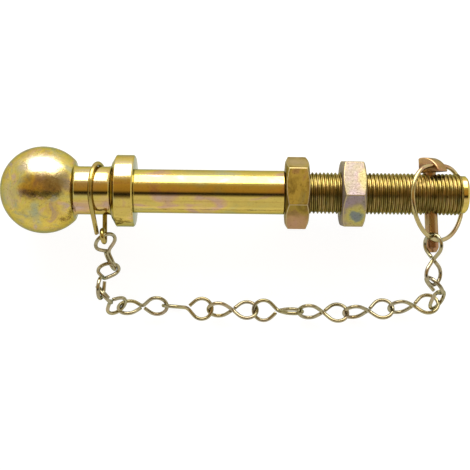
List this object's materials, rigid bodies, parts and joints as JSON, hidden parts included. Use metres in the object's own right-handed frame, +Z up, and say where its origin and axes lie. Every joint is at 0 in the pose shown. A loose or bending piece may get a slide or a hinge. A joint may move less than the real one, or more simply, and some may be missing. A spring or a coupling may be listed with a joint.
{
  "type": "threaded ball stud",
  "caption": "Ball stud with collar, plain shank and fine thread, thin lock nuts, and a linch pin through the threaded end, its sprung ring tethered to the neck by a twisted-wire chain.",
  "frame": {"origin": "centre of the collar's seat face, on the stud's axis", "axes": "+X along the stud from the ball to the threaded end; +Z up as it lies; +Y across, away from the chain"},
  "size_m": [0.2702, 0.1011, 0.05],
  "materials": {
    "stud_zinc": "bright yellow zinc over turned steel",
    "nut_zinc": "yellow zinc with a pink cast on the flats",
    "pin_zinc": "rosy yellow zinc",
    "ring_zinc": "yellow zinc on drawn wire",
    "chain_zinc": "dull olive yellow zinc on drawn wire"
  },
  "bodies": {
    "stud": {"ball_stud": "stud_zinc", "linch_pin": "pin_zinc", "neck_clip": "ring_zinc", "chain_link_01": "chain_zinc", "chain_link_02": "chain_zinc", "chain_link_03": "chain_zinc", "chain_link_04": "chain_zinc", "chain_link_05": "chain_zinc", "chain_link_06": "chain_zinc", "chain_link_07": "chain_zinc"},
    "inner_nut": {"inner_nut": "nut_zinc"},
    "lock_nut": {"lock_nut": "nut_zinc"},
    "linch_ring": {"linch_ring": "ring_zinc"},
    "link_12": {"chain_link_12": "chain_zinc"},
    "link_11": {"chain_link_11": "chain_zinc"},
    "link_10": {"chain_link_10": "chain_zinc"},
    "link_09": {"chain_link_09": "chain_zinc"},
    "link_08": {"chain_link_08": "chain_zinc"}
  },
  "joints": [
    {"name": "inner_nut_turn", "type": "hinge", "parent": "stud", "child": "inner_nut", "pos_m": [0.0928, 0, 0], "axis": [1, 0, 0], "continuous": true},
    {"name": "lock_nut_turn", "type": "hinge", "parent": "stud", "child": "lock_nut", "pos_m": [0.1246, 0, 0], "axis": [1, 0, 0], "continuous": true},
    {"name": "ring_flip", "type": "hinge", "parent": "stud", "child": "linch_ring", "pos_m": [0.17277, 0.01628, 0.00396], "axis": [-0.7184, -0.0376, 0.6947], "range_deg": [0, 25]},
    {"name": "link_12_swing", "type": "hinge", "parent": "linch_ring", "child": "link_12", "pos_m": [0.17, -0.02426, 0.00868], "axis": [0.5703, 0.1817, -0.8011], "range_deg": [0, 32.29]},
    {"name": "link_11_swing", "type": "hinge", "parent": "link_12", "child": "link_11", "pos_m": [0.17093, -0.04966, 0.00672], "axis": [-0.52, 0.2026, -0.8298], "range_deg": [0, 19.78]},
    {"name": "link_10_swing", "type": "hinge", "parent": "link_11", "child": "link_10", "pos_m": [0.17748, -0.06323, -0.01296], "axis": [0.2895, -0.7909, 0.5392], "range_deg": [0, 34.13]},
    {"name": "link_09_swing", "type": "hinge", "parent": "link_10", "child": "link_09", "pos_m": [0.15003, -0.0666, -0.01354], "axis": [0.8937, 0.435, 0.1094], "range_deg": [0, 31.58]},
    {"name": "link_08_swing", "type": "hinge", "parent": "link_09", "child": "link_08", "pos_m": [0.12352, -0.06985, -0.0141], "axis": [-0.9959, 0.0064, 0.0902], "range_deg": [0, 24.57]}
  ],
  "couplings": [
    {"joint": "link_12_swing", "follows": "ring_flip", "ratio": 1.2897},
    {"joint": "link_11_swing", "follows": "ring_flip", "ratio": 0.7892},
    {"joint": "link_10_swing", "follows": "ring_flip", "ratio": 1.3631},
    {"joint": "link_09_swing", "follows": "ring_flip", "ratio": 1.2613},
    {"joint": "link_08_swing", "follows": "ring_flip", "ratio": 0.981}
  ]
}
